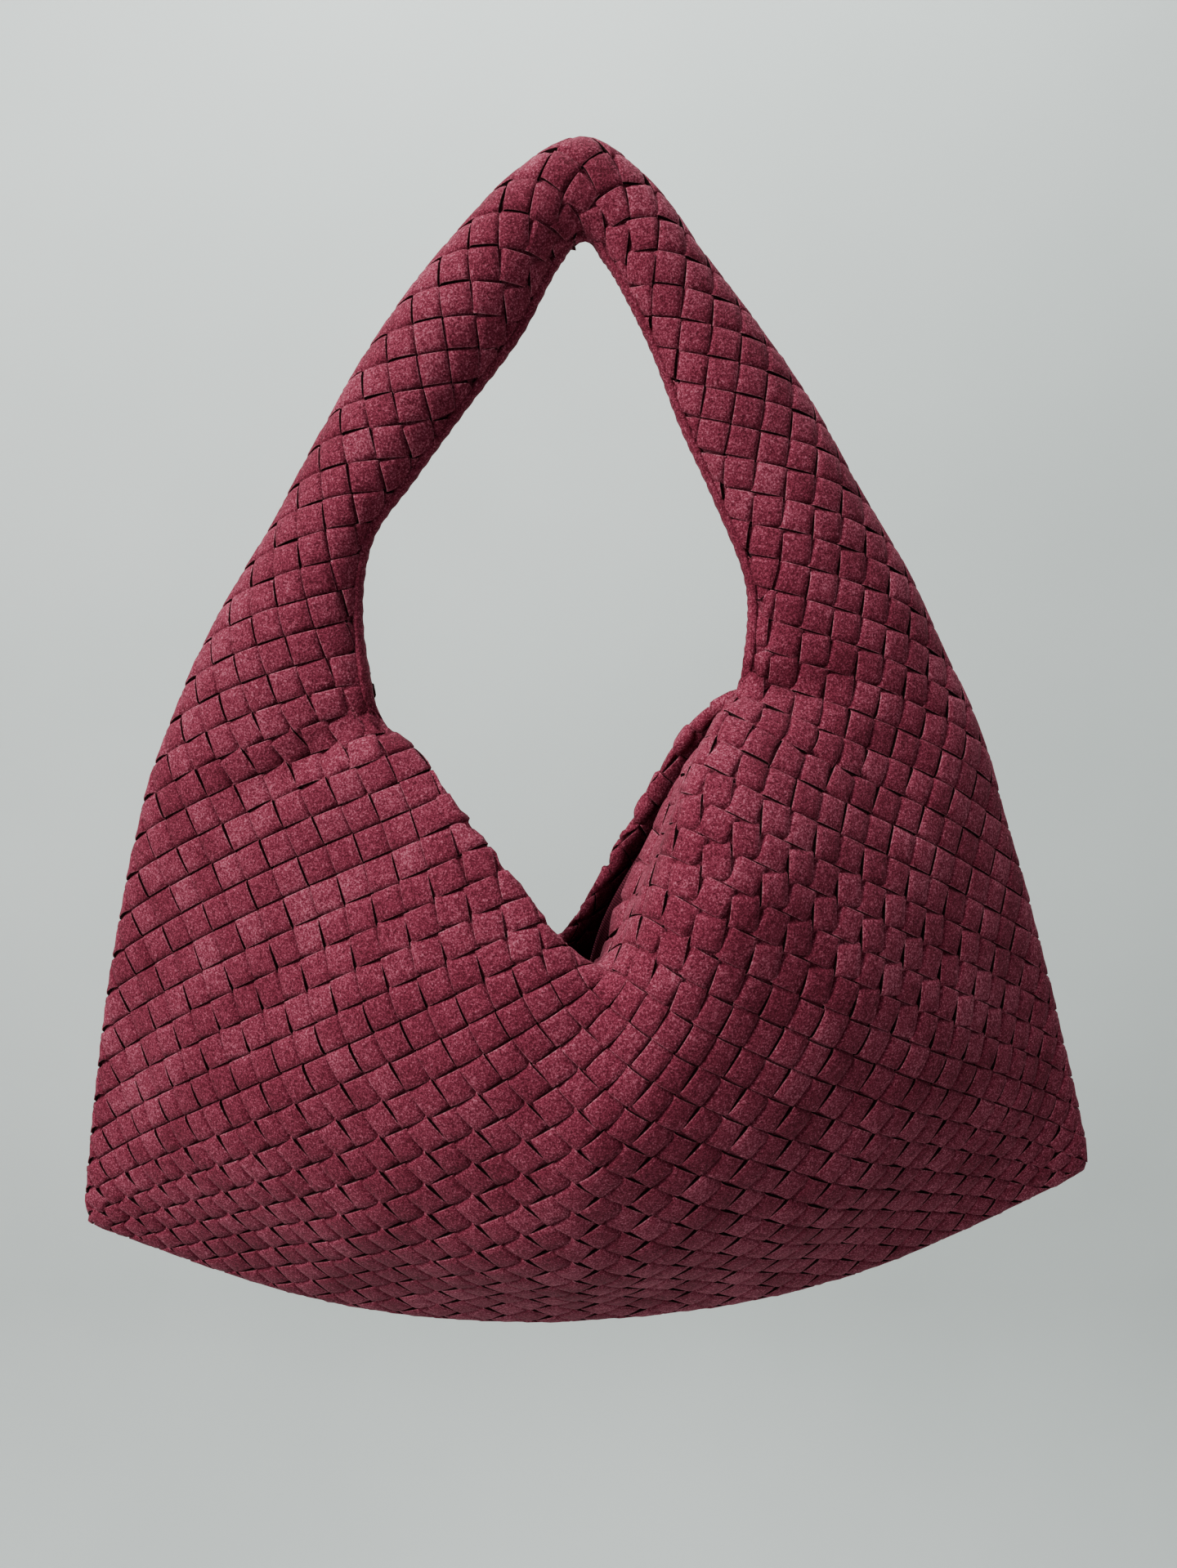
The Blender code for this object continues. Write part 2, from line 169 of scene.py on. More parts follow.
def all_stations():
    rows = [arm_station(*CROWN)]
    rows += [arm_station(*row) for row in LEFT_ARM]
    rows += [pouch_station(*row) for row in POUCH]
    rows += [arm_station(*row) for row in RIGHT_ARM]
    for number, row in enumerate(rows):
        share, offset = GUSSET.get(number, (0.0, (0.0, 0.0, 0.0)))
        row += [share, *offset]
    rows.append(rows[0])
    return np.array(rows)


def catmull(p0, p1, p2, p3, t):
    slope_in = (p2 - p0) / 2
    slope_out = (p3 - p1) / 2
    a = 2 * p1 - 2 * p2 + slope_in + slope_out
    b = -3 * p1 + 3 * p2 - 2 * slope_in - slope_out
    return ((a * t + b) * t + slope_in) * t + p1


def spline_rows(rows):
    """The stations, interpolated. Only the outer fold breaks its direction, at the corners."""
    count = len(rows) - 1
    parts = np.arange(STEPS) / STEPS
    result = []
    for i in range(count):
        before = rows[i - 1] if i else rows[count - 1]
        after = rows[i + 2] if i + 2 <= count else rows[1]
        before, after = before.copy(), after.copy()
        if i in (LEFT_CORNER, RIGHT_CORNER):
            before[0:2] = rows[i][0:2]
        if i + 1 in (LEFT_CORNER, RIGHT_CORNER):
            after[0:2] = rows[i + 1][0:2]
        result += [catmull(before, rows[i], rows[i + 1], after, t) for t in parts]
    result.append(rows[-1])
    return np.array(result)


def unit(vectors):
    return vectors / np.maximum(np.linalg.norm(vectors, axis=-1, keepdims=True), 1e-12)


def arc_lengths(points):
    steps = np.linalg.norm(np.diff(points, axis=0), axis=1)
    return np.concatenate([[0], np.cumsum(steps)])


def resample(points, count):
    """count + 1 points, evenly spaced along the polyline."""
    lengths = arc_lengths(points)
    marks = np.linspace(0, lengths[-1], count + 1)
    return np.stack([np.interp(marks, lengths, points[:, k]) for k in range(3)], axis=1)


def dense_curve(points, steps):
    """Catmull-Rom curve through points[1:-1]; the first and last only steer it."""
    curve = []
    for i in range(1, len(points) - 2):
        curve += [catmull(*points[i - 1:i + 3], t / steps) for t in range(steps)]
    curve.append(points[-2])
    return np.array(curve)


def bezier(p0, p1, p2, p3, steps):
    t = np.linspace(0, 1, steps + 1)[:, None]
    u = 1 - t
    return u**3 * p0 + 3 * u * u * t * p1 + 3 * u * t * t * p2 + t**3 * p3


def behind_panel(panel, length, along, turn):
    """Points that follow the panel back from its lip, and the inward direction at each."""
    lengths = arc_lengths(panel)
    marks = lengths[-1] - np.linspace(0, length, HEM_POINTS)
    path = np.stack([np.interp(marks, lengths, panel[:, k]) for k in range(3)], axis=1)
    tangent = unit(np.gradient(path, axis=0) * -1)
    inward = turn * (-tangent[:, 1:2] * along + (tangent @ along)[:, None] * DEPTH_AXIS)
    return path, unit(inward)


def slide(start, end, count):
    """count points from start towards end, the last one on it."""
    return start + (end - start) * (np.arange(1, count + 1) / count)[:, None]


def section_path(row, layer, arm_part):
    """One layer's path at one station: fold to lip, and the turned-in hem."""
    outer = np.array([row[0], 0, row[1]])
    inner = np.array([row[2], 0, row[3]])
    if layer == BACK:
        inner = inner + np.array([row[4], 0, row[5]])
    own, other = (row[6:11], row[11:16]) if layer == FRONT else (row[11:16], row[6:11])
    across = inner - outer
    panel = panel_path(outer, across, own, other, arm_part)
    along = across / np.linalg.norm(across)
    turn = 1 if layer == FRONT else -1
    roll, hem = (row[16], row[17]) if layer == FRONT else (BACK_ROLL, row[18])
    roll = roll * (1 - arm_part) + ARM_ROLL * arm_part
    lip = panel[-1]
    into_arm = lip - along * hem - DEPTH_AXIS * turn * ARM_HEM_SPREAD
    behind, clear = behind_panel(panel, hem + SPARE_HEM, along, turn)
    behind += clear * (2 * roll) * (1 - arm_part)
    tube = np.linspace(0, 1, len(behind))[:, None] * (into_arm - lip) * (1 + SPARE_HEM / hem) + lip
    behind = behind * (1 - arm_part) + tube * arm_part
    share, corner = 0.0, lip
    if layer == FRONT:
        share, corner = min(max(row[19], 0), 1), lip + row[20:23]
    return panel, turned_path(panel, behind, roll, share, corner)


def panel_path(outer, across, own, other, arm_part):
    """Smooth line through a layer's given points, from the fold to the lip."""
    points = [outer + across * ACROSS[0] + DEPTH_AXIS * other[0], outer]
    points += [outer + across * s + DEPTH_AXIS * y for s, y in zip(ACROSS, own)]
    free_end = 2 * points[-1] - points[-2]
    seam_end = outer + across * ACROSS[3] + DEPTH_AXIS * other[3]
    points.append(free_end * (1 - arm_part) + seam_end * arm_part)
    return dense_curve(points, PANEL_STEPS)


def turned_path(panel, behind, roll, share, corner):
    """Over the lip and down behind the panel, or by this share back to the gusset's corner."""
    lip = panel[-1]
    tangent = panel[-1] - panel[-2]
    tangent /= np.linalg.norm(tangent)
    end = behind[-1] * (1 - share) + (corner + np.array(GUSSET_END)) * share
    bend = behind[HEM_BEND] * (1 - share) + corner * share
    pull = behind[0] + tangent * ROLL_RETURN * roll
    pull = pull * (1 - share) + (corner * 0.6 + lip * 0.4) * share
    first = behind[0] * (1 - share) + (corner * 0.5 + lip * 0.5) * share
    turn_over = bezier(lip, lip + tangent * ROLL_PULL * roll, pull, first, TURN_STEPS)
    middle = behind[1:HEM_BEND] * (1 - share) + share * slide(first, bend, HEM_BEND - 1)
    last = behind[HEM_BEND:] * (1 - share) + share * slide(bend, end, len(behind) - HEM_BEND)
    return np.concatenate([turn_over, middle, last])[1:]


def soften(path):
    """Rounds the bends of the turned-in part; its ends stay."""
    path = path.copy()
    for _ in range(SOFTENING):
        path[1:-1] = path[1:-1] * 0.5 + (path[:-2] + path[2:]) * 0.25
    return path


def crease(grid, start, end, depth, width):
    """Presses a groove into the cloth along a line in the x-z plane, fading at its ends."""
    start, end = np.array(start), np.array(end)
    flat = grid[..., (0, 2)]
    line = end - start
    length = np.linalg.norm(line)
    part = np.clip(((flat - start) @ line) / length**2, -0.3, 1.3)
    away = np.linalg.norm(flat - start - part[..., None] * line, axis=-1)
    fade = np.clip(1 - np.abs(part - 0.4) / 0.8, 0, 1)
    grid[..., 1] += depth * fade * np.exp(-(away / width)**2)


def soft_waves(grid):
    """Slow unevenness of soft cloth, fading out at the outer fold."""
    x, z = grid[..., 0], grid[..., 2]
    waves = WAVE * np.sin(x * 41 + z * 17 + 1.3) * np.sin(z * 36 - x * 13 + 0.7)
    waves += FINE_WAVE * np.sin(x * 83 - z * 52 + 2.1)
    fade = np.clip(np.arange(COLUMNS + 1) / COLUMNS * 6, 0, 1)
    grid[..., 1] += waves * fade[None, :]


def ease_corners(grid):
    """The cloth is creased at the pouch's two bottom corners only, not on the way in from them."""
    inwards = np.arange(COLUMNS + 1) / COLUMNS
    for corner in (LEFT_CORNER, RIGHT_CORNER):
        rows = slice((corner - 2) * STEPS, (corner + 2) * STEPS)
        before = slice(rows.start - 1, rows.stop - 1)
        after = slice(rows.start + 1, rows.stop + 1)
        for step in range(CORNER_EASING):
            eased = inwards * CORNER_REACH + 3 > step
            mean = (grid[before] + grid[after]) / 2
            grid[rows, eased] = (grid[rows, eased] + mean[:, eased]) / 2


def on_grid(moves, along, across):
    """Moves in grid units, of moves in metres, from the grid's slopes there."""
    aa, tt, at = (along**2).sum(1), (across**2).sum(1), (along * across).sum(1)
    pa, pt = (along * moves).sum(1), (across * moves).sum(1)
    det = np.maximum(aa * tt - at * at, 1e-16)
    return (tt * pa - at * pt) / det, (aa * pt - at * pa) / det


class Surface:
    """Both layers of cloth on one grid: row along the loop, column from the fold inwards.

    A place on it is (layer, a, t); a negative t lies on the other layer.
    """

    def __init__(self, rows):
        self.span = len(rows) - 1
        self.grids, self.lips, self.steps = [], [], []
        for layer in (FRONT, BACK):
            grid, lips, steps = [], [], []
            for i, row in enumerate(rows):
                station = i / STEPS
                arm_part = max(LEFT_MOUTH + ARM_FADE - station, station - RIGHT_MOUTH + ARM_FADE)
                panel, turned = section_path(row, layer, min(max(arm_part, 0), 1))
                path = np.concatenate([panel, soften(turned)])
                total = arc_lengths(path)[-1]
                grid.append(resample(path, COLUMNS))
                lips.append(arc_lengths(panel)[-1] / total * COLUMNS)
                steps.append(total / COLUMNS)
            grid = np.array(grid)
            ease_corners(grid)
            soft_waves(grid)
            if layer == FRONT:
                for fold in CREASES:
                    crease(grid, *fold)
            self.grids.append(grid)
            self.lips.append(np.array(lips))
            self.steps.append(np.array(steps))

    def point(self, layer, a, t):
        """World points, by bilinear interpolation."""
        a = np.mod(a, self.span)
        i = np.minimum(a.astype(int), self.span - 1)
        crossed = t < 0
        ratio = self.steps[FRONT][i] / self.steps[BACK][i]
        ratio = np.where(layer == FRONT, ratio, 1 / ratio)
        t = np.where(crossed, -t * ratio, t)
        layer = np.where(crossed, 1 - layer, layer)
        t = np.clip(t, 0, COLUMNS - 1e-6)
        j = t.astype(int)
        fa, ft = (a - i)[:, None], (t - j)[:, None]
        result = np.zeros((len(a), 3))
        for number in (FRONT, BACK):
            pick = layer == number
            g = self.grids[number]
            ip, jp = i[pick], j[pick]
            low = g[ip, jp] * (1 - ft[pick]) + g[ip, jp + 1] * ft[pick]
            high = g[ip + 1, jp] * (1 - ft[pick]) + g[ip + 1, jp + 1] * ft[pick]
            result[pick] = low * (1 - fa[pick]) + high * fa[pick]
        return result

    def slopes(self, layer, a, t, step=0.7):
        """How the point moves with a and with t."""
        along = self.point(layer, a + step, t) - self.point(layer, a - step, t)
        high = np.minimum(t + step, COLUMNS - 1e-6)
        across = self.point(layer, a, high) - self.point(layer, a, t - step)
        return along / (2 * step), across / (high - t + step)[:, None]

    def normal(self, layer, a, t):
        """Outward normal."""
        along, across = self.slopes(layer, a, t)
        normal = unit(np.cross(unit(along), unit(across)))
        normal[layer == BACK] *= -1
        return normal


# ---- flat pattern of the weave

def fold_pattern(rows):
    """Net coordinates (column, row) of each station's point on the outer fold."""
    arc = arc_lengths(rows[:, 0:2])
    left, right = arc[LEFT_CORNER * STEPS], arc[RIGHT_CORNER * STEPS]
    arm_scale = 2 * (JOIN_ROW - MOUTH_ROW) / (arc[-1] - right + left - LEFT_SIDE - RIGHT_SIDE)
    pattern = []
    for s in arc:
        if s < left:
            pattern.append((-FOLD_COLUMN, side_row(left - s, LEFT_SIDE, arm_scale)))
        elif s > right:
            pattern.append((FOLD_COLUMN, side_row(s - right, RIGHT_SIDE, arm_scale)))
        else:
            part = (s - left) / (right - left)
            pattern.append(((2 * part - 1) * FOLD_COLUMN, 0.0))
    return np.array(pattern)


def side_row(up, side, arm_scale):
    """Net row at a height along a side fold: beside the pouch, and above it on the arm."""
    if up > side:
        return MOUTH_ROW + (up - side) * arm_scale
    return MOUTH_ROW * up / side


def edge_pattern(rows, surface):
    """Net coordinates of each station's point on the inner edge: handle seam and lips."""
    arc = arc_lengths(rows[:, 2:4])
    left, right = LEFT_MOUTH * STEPS, RIGHT_MOUTH * STEPS
    lowest = left + np.argmin(rows[left:right, 3])
    widths = sum(surface.lips[layer] * surface.steps[layer] for layer in (FRONT, BACK)) / 2
    columns = FOLD_COLUMN - widths / HALF_CELL
    arm_scale = 2 * (JOIN_ROW - MOUTH_ROW) / (arc[-1] - arc[right] + arc[left])
    bottom = MOUTH_ROW - MOUTH_DEPTH
    pattern = []
    for i, s in enumerate(arc):
        if i <= left:
            pattern.append((-columns[i], MOUTH_ROW + (arc[left] - s) * arm_scale))
        elif i >= right:
            pattern.append((columns[i], MOUTH_ROW + (s - arc[right]) * arm_scale))
        elif i < lowest:
            part = (arc[lowest] - s) / (arc[lowest] - arc[left])
            pattern.append((-columns[left] * part, bottom + MOUTH_DEPTH * part))
        else:
            part = (s - arc[lowest]) / (arc[right] - arc[lowest])
            pattern.append((columns[right] * part, bottom + MOUTH_DEPTH * part))
    return np.array(pattern)


def smooth_along(values, width):
    """Moving average along a closed loop of rows."""
    kernel = np.ones(2 * width + 1) / (2 * width + 1)
    padded = np.concatenate([values[-width - 1:-1], values, values[1:width + 1]])
    return np.stack([np.convolve(padded[:, k], kernel, "valid") for k in range(values.shape[1])],
                    axis=1)


def pattern_grid(rows, surface, layer):
    """Net coordinates of every grid point of one layer."""
    fold = fold_pattern(rows)
    edge = edge_pattern(rows, surface)
    count = len(rows)
    outward = np.tile([0.0, 1.0], (count, 1))
    outward[:LEFT_MOUTH * STEPS] = (1, 0)
    outward[RIGHT_MOUTH * STEPS:] = (-1, 0)
    outward = unit(smooth_along(outward, 8))
    lips = surface.lips[layer]
    pattern = np.zeros((count, COLUMNS + 1, 2))
    for j in range(COLUMNS + 1):
        part = np.minimum(j / lips, 1)[:, None]
        past = np.maximum(j - lips, 0) * surface.steps[layer] / HALF_CELL
        pattern[:, j] = fold * (1 - part) + edge * part + outward * past[:, None]
    return pattern


# ---- net of the weave

def canonical(column, row):
    """The two arms meet at JOIN_ROW, so a node past it is a node of the other arm."""
    if row > JOIN_ROW or (row == JOIN_ROW and column > 0):
        return -column, 2 * JOIN_ROW - row
    return column, row


class Net:
    """Nodes of the diamond net, each with its layer and its place (a, t) on the surface."""

    def __init__(self, surface, rows):
        self.surface = surface
        self.keys = {}
        self.layer = []
        self.place = []
        for layer in (FRONT, BACK):
            self.add_nodes(layer, pattern_grid(rows, surface, layer))
        self.layer = np.array(self.layer)
        self.place = np.array(self.place)
        self.on_fold = self.place[:, 1] == 0
        self.cells = self.find_cells()
        self.relax()
        self.trim()
        self.points = surface.point(self.layer, self.place[:, 0], self.place[:, 1])

    def add_nodes(self, layer, pattern):
        """Each node goes to the grid point whose net coordinates are nearest."""
        flat = pattern.reshape(-1, 2).copy()
        columns = pattern.shape[1]
        over = flat[:, 1] > JOIN_ROW
        flat[over, 0] *= -1
        flat[over, 1] = 2 * JOIN_ROW - flat[over, 1]
        for row in range(JOIN_ROW + 1):
            near_row = np.abs(flat[:, 1] - row) < 1.5
            spots = np.nonzero(near_row)[0]
            for column in range(-FOLD_COLUMN, FOLD_COLUMN + 1):
                if (column + row) % 2 or canonical(column, row) != (column, row):
                    continue
                fold = abs(column) == FOLD_COLUMN or row == 0
                if fold and layer == BACK:
                    continue
                gap = np.hypot(flat[spots, 0] - column, flat[spots, 1] - row)
                best = np.argmin(gap)
                if gap[best] > 0.6:
                    continue
                a, t = divmod(spots[best], columns)
                self.keys[(layer, column, row)] = len(self.layer)
                self.layer.append(layer)
                self.place.append((float(a), 0.0 if fold else max(float(t), 1.0)))

    def node(self, layer, column, row):
        column, row = canonical(column, row)
        if abs(column) == FOLD_COLUMN or row == 0:
            layer = FRONT
        return self.keys.get((layer, column, row), -1)

    def find_cells(self):
        """Cells as (north, east, south, west, column parity is even, layer)."""
        cells = []
        for row in range(0, JOIN_ROW + 1):
            for column in range(-FOLD_COLUMN, FOLD_COLUMN + 1):
                if (column + row) % 2 == 0 or canonical(column, row) != (column, row):
                    continue
                even = column % 2 == 0
                for layer in (FRONT, BACK):
                    corners = self.cell_corners(layer, column, row)
                    if corners and min(corners) >= 0:
                        cells.append((*corners, even, layer))
        return cells

    def cell_corners(self, layer, column, row):
        north, east = (layer, column, row + 1), (layer, column + 1, row)
        south, west = (layer, column, row - 1), (layer, column - 1, row)
        folded = abs(column) == FOLD_COLUMN or row == 0
        if folded and layer == BACK:
            return None
        if column == -FOLD_COLUMN:
            west = (BACK, column + 1, row)
        elif column == FOLD_COLUMN:
            east = (BACK, column - 1, row)
        elif row == 0:
            south = (BACK, column, row + 1)
        return [self.node(*key) for key in (north, east, south, west)]

    def links(self):
        """Edges of the net, and the diagonals of its cells."""
        edges = set()
        diagonals = []
        for north, east, south, west, _, _ in self.cells:
            for pair in ((north, east), (east, south), (south, west), (west, north)):
                edges.add((min(pair), max(pair)))
            diagonals += [(north, south), (east, west)]
        return np.array(sorted(edges)), np.array(sorted(set(map(tuple, map(sorted, diagonals)))))

    def runs(self, pairs):
        """Each pair's distance over the surface, and the way out from both of its nodes."""
        first, second = pairs.T
        a1, t1 = self.place[first].T
        a2, t2 = self.place[second].T
        span = self.surface.span
        a2 = a2 - span * np.round((a2 - a1) / span)
        layer = np.where(self.on_fold[first], self.layer[second], self.layer[first])
        crossing = (self.layer[second] != layer) & ~self.on_fold[second]
        i = np.mod(a1, span).astype(int)
        front, back = self.surface.steps[FRONT][i], self.surface.steps[BACK][i]
        t2 = np.where(crossing, -t2 * np.where(layer == FRONT, back / front, front / back), t2)
        stops = np.array([self.surface.point(layer, a1 + (a2 - a1) * s, t1 + (t2 - t1) * s)
                          for s in np.linspace(0, 1, RUN_STOPS)])
        lengths = np.linalg.norm(np.diff(stops, axis=0), axis=2).sum(0)
        return lengths, (unit(stops[1] - stops[0]), unit(stops[-2] - stops[-1]))

    def relax(self):
        """Slides the nodes over the surface until the strips keep their width and run true."""
        edges, diagonals = self.links()
        count = len(self.layer)
        use = np.bincount(edges.ravel(), minlength=count).astype(float)
        use_diagonal = np.bincount(diagonals.ravel(), minlength=count).astype(float)
        full = (use == 4)
        for _ in range(RELAX_STEPS):
            a, t = self.place[:, 0], self.place[:, 1]
            lengths, ways = self.runs(edges)
            push = pull_together(edges, ways, lengths, STRIP, STRIP, count) / use[:, None]
            push *= EDGE_PULL
            even_out = pull_together(edges, ways, lengths, 0.0, 0.0, count) / 2
            push[full] += SMOOTH_PULL * even_out[full]
            lengths, ways = self.runs(diagonals)
            ease = pull_together(diagonals, ways, lengths, *(d * STRIP for d in DIAGONALS), count)
            push += DIAGONAL_PULL * ease / np.maximum(use_diagonal, 1)[:, None]
            along, across = self.surface.slopes(self.layer, a, t)
            move_a, move_t = on_grid(push, along, across)
            fold_move = (along * push).sum(1) / np.maximum((along**2).sum(1), 1e-12)
            move_a[self.on_fold] = fold_move[self.on_fold]
            move_t[self.on_fold] = 0
            move_a[self.corner_nodes()] = 0
            self.place[:, 0] = np.mod(a + np.clip(move_a, -1, 1), self.surface.span)
            self.place[:, 1] = np.clip(t + np.clip(move_t, -1, 1), 0, COLUMNS - 0.01)
            inner = ~self.on_fold
            self.place[inner, 1] = np.maximum(self.place[inner, 1], 0.5)

    def trim(self):
        """Leaves out the cells that ran past the hem."""
        spare = SPARE_HEM * 0.1
        ends = COLUMNS - spare / np.choose(self.layer, [
            np.interp(self.place[:, 0], np.arange(self.surface.span + 1), steps)
            for steps in self.surface.steps])
        past = self.place[:, 1] > ends
        points = self.surface.point(self.layer, self.place[:, 0], self.place[:, 1])
        kept = []
        for cell in self.cells:
            ring = points[list(cell[:4])]
            sides = np.linalg.norm(ring - np.roll(ring, 1, axis=0), axis=1)
            if not past[list(cell[:4])].any() and sides.max() < TORN * STRIP:
                kept.append(cell)
        self.cells = kept

    def corner_nodes(self):
        return [self.keys[(FRONT, side * FOLD_COLUMN, 0)] for side in (-1, 1)]


def pull_together(pairs, ways, lengths, shortest, longest, count):
    """Moves along the surface that bring each pair's distance into the range."""
    move = ((lengths - np.clip(lengths, shortest, longest)) / 2)[:, None]
    push = np.zeros((count, 3))
    np.add.at(push, pairs[:, 0], ways[0] * move)
    np.add.at(push, pairs[:, 1], ways[1] * move)
    return push


# ---- strips

def trace_strips(net):
    """Each strip as a list of (cell, edge in, edge out, is over)."""
    by_edge = {}
    passes = []
    for number, (north, east, south, west, even, layer) in enumerate(net.cells):
        falling = ((west, north), (south, east))
        rising = ((west, south), (north, east))
        rising_over = even if layer == FRONT else not even
        for pair, is_over in ((falling, not rising_over), (rising, rising_over)):
            for edge in pair:
                by_edge.setdefault(frozenset(edge), []).append(len(passes))
            passes.append((number, pair, is_over))
    used = set()
    strips = []
    starts = [i for edge in by_edge.values() if len(edge) == 1 for i in edge]
    for start in starts + list(range(len(passes))):
        if start not in used:
            strips.append(walk_strip(start, passes, by_edge, used))
    return strips


def walk_strip(start, passes, by_edge, used):
    pair = passes[start][1]
    edge_in = pair[0] if len(by_edge[frozenset(pair[0])]) == 1 else pair[1]
    strip = []
    index = start
    while index not in used:
        used.add(index)
        number, pair, is_over = passes[index]
        edge_out = pair[1] if set(pair[0]) == set(edge_in) else pair[0]
        strip.append((number, edge_in, edge_out, is_over))
        others = [i for i in by_edge[frozenset(edge_out)] if i != index]
        if not others:
            break
        edge_in = edge_out
        index = others[0]
    return strip


# Through one cell: places along it, and the strip's lift there where it lies over or under
RUN_MARKS = (0.0, 0.05, 0.12, 0.5, 0.88, 0.95)
OVER_LIFT = (-0.50, 0.62, 1.02, 1.05, 1.02, 0.62)
UNDER_LIFT = (-0.50, -0.98, -1.0, -1.0, -1.0, -0.98)


class StripPath:
    """Sampled middle line of a strip, with the edges it crosses and its lift."""

    def __init__(self, net, strip):
        self.layer, self.a, self.t, self.lift, self.edges = [], [], [], [], []
        for number, edge_in, edge_out, is_over in strip:
            centre = cell_middle(net, net.cells[number])
            enter = edge_middle(net, edge_in)
            leave = edge_middle(net, edge_out)
            self.edges.append(edge_in)
            lifts = OVER_LIFT if is_over else UNDER_LIFT
            for mark, lift in zip(RUN_MARKS, lifts):
                near, part = (enter, 2 * mark) if mark <= 0.5 else (leave, 2 - 2 * mark)
                self.add(near, centre, part, lift, net)
        self.edges.append(edge_out)
        self.add(leave, leave, 0.0, lifts[0], net)

    def add(self, near, centre, part, lift, net):
        layer, a, t = near
        _, centre_a, centre_t = centre
        centre_a = unwrap(centre_a, a, net.surface.span)
        self.layer.append(layer)
        self.a.append(a * (1 - part) + centre_a * part)
        self.t.append(t * (1 - part) + centre_t * part)
        self.lift.append(lift)


def unwrap(a, near, span):
    """a, moved by whole turns to lie beside near."""
    return a - span * round((a - near) / span)


def edge_middle(net, edge):
    one, two = edge
    a1, t1 = net.place[one]
    a2, t2 = net.place[two]
    a2 = unwrap(a2, a1, net.surface.span)
    layer = net.layer[two] if net.on_fold[one] else net.layer[one]
    return layer, (a1 + a2) / 2, (t1 + t2) / 2


def cell_middle(net, cell):
    """Middle of a cell; a cell on a side fold has it on the fold."""
    corners = cell[:4]
    fold = [n for n in corners if net.on_fold[n]]
    if len(fold) >= 2:
        corners = fold[:2]
    base = net.place[corners[0]][0]
    a = np.mean([unwrap(net.place[n][0], base, net.surface.span) for n in corners])
    t = np.mean([net.place[n][1] for n in corners])
    return net.layer[corners[0]], a, t


# A strip's section: across over its width, height over its thickness
PROFILE = ((-0.5, -0.42), (-0.5, 0.36), (-0.475, 0.52), (-0.2, 0.58),
           (0.2, 0.58), (0.475, 0.52), (0.5, 0.36), (0.5, -0.42))
STRIP_RISE = 0.52  # lift of a strip over its neighbour, over its thickness
WIDEST = 1.02  # over the strip pitch
WIDTH_SPREAD = 0.02  # chance differences between strips
HEIGHT_SPREAD = 0.05


def ribbon(net, path, rng):
    """Rings of points round the strip's section, each laid on the surface."""
    surface = net.surface
    layer = np.array(path.layer)
    a, t = np.array(path.a), np.array(path.t)
    middle = smooth_run(surface.point(layer, a, t))
    tangent = unit(np.gradient(middle, axis=0))
    side = unit(np.cross(surface.normal(layer, a, t), tangent))
    pitch = strip_pitch(net, path, tangent)
    width = np.interp(np.arange(len(layer)) / len(RUN_MARKS), np.arange(len(pitch)), pitch)
    width = np.minimum(width, STRIP * WIDEST) * STRIP_FILL
    width *= 1 + WIDTH_SPREAD * rng.standard_normal()
    lift = np.array(path.lift) * STRIP_THICK * STRIP_RISE
    lift += STRIP_THICK * HEIGHT_SPREAD * rng.standard_normal() + MID_SURFACE
    step_a, step_t = (step * width for step in on_grid(side, *surface.slopes(layer, a, t)))
    rings = []
    for p, q in PROFILE:
        spot = (layer, a + step_a * p, t + step_t * p)
        height = lift + STRIP_THICK * q
        rings.append(smooth_run(surface.point(*spot)) + surface.normal(*spot) * height[:, None])
    return np.stack(rings, axis=1)


def strip_pitch(net, path, tangent):
    """Width that the net leaves for the strip at each cell border, measured over the surface."""
    ends = tangent[::len(RUN_MARKS)]
    pairs = np.array(path.edges)
    edges = net.points[pairs[:, 1]] - net.points[pairs[:, 0]]
    bent = net.runs(pairs)[0] / np.linalg.norm(edges, axis=1)
    return bent * np.linalg.norm(edges - (edges * ends).sum(1, keepdims=True) * ends, axis=1)


def smooth_run(values):
    """Takes the small kinks out of a run of samples, keeping its ends."""
    result = values.copy()
    result[1:-1] = values[1:-1] * 0.5 + (values[:-2] + values[2:]) * 0.25
    return result


SECTION_POINTS = len(PROFILE)
# Rim faces get the lighter suede, a painted highlight along the strips' edges.
SIDE_FACE, RIM_FACE, TOP_FACE = 1, 2, 0
# Side faces get the near-black cut edge, partly painted shade of the gaps between strips.
FACE_SLOTS = (SIDE_FACE, RIM_FACE, TOP_FACE, TOP_FACE, TOP_FACE, RIM_FACE, SIDE_FACE, TOP_FACE)


def strips_mesh(name, strips, materials):
    """One mesh that holds the given strips. Each strip has its own tone, as dyed lots do."""
    vertices, faces, slots, tones = [], [], [], []
    base = 0
    for rings, tone in strips:
        count = len(rings)
        vertices.append(rings.reshape(-1, 3))
        index = base + np.arange(count * SECTION_POINTS).reshape(count, SECTION_POINTS)
        for k in range(SECTION_POINTS):
            after = (k + 1) % SECTION_POINTS
            quads = np.stack([index[:-1, k], index[1:, k], index[1:, after], index[:-1, after]],
                             axis=1)
            faces.append(quads)
            slots.append(np.full(len(quads), FACE_SLOTS[k]))
            tones.append(np.full(len(quads), tone))
        base += count * SECTION_POINTS
    mesh = bpy.data.meshes.new(name)
    mesh.from_pydata(np.concatenate(vertices).tolist(), [], np.concatenate(faces).tolist())
    slots = np.concatenate(slots)
    for material in materials:
        mesh.materials.append(material)
    mesh.polygons.foreach_set("material_index", slots.astype(np.int32))
    mesh.polygons.foreach_set("use_smooth", slots != SIDE_FACE)
    tone = mesh.attributes.new("tone", "FLOAT", "FACE")
    tone.data.foreach_set("value", np.concatenate(tones).astype(np.float32))
    mesh.update()
    return add_object(name, mesh)


def add_object(name, data):
    item = bpy.data.objects.new(name, data)
    bpy.context.collection.objects.link(item)
    return item


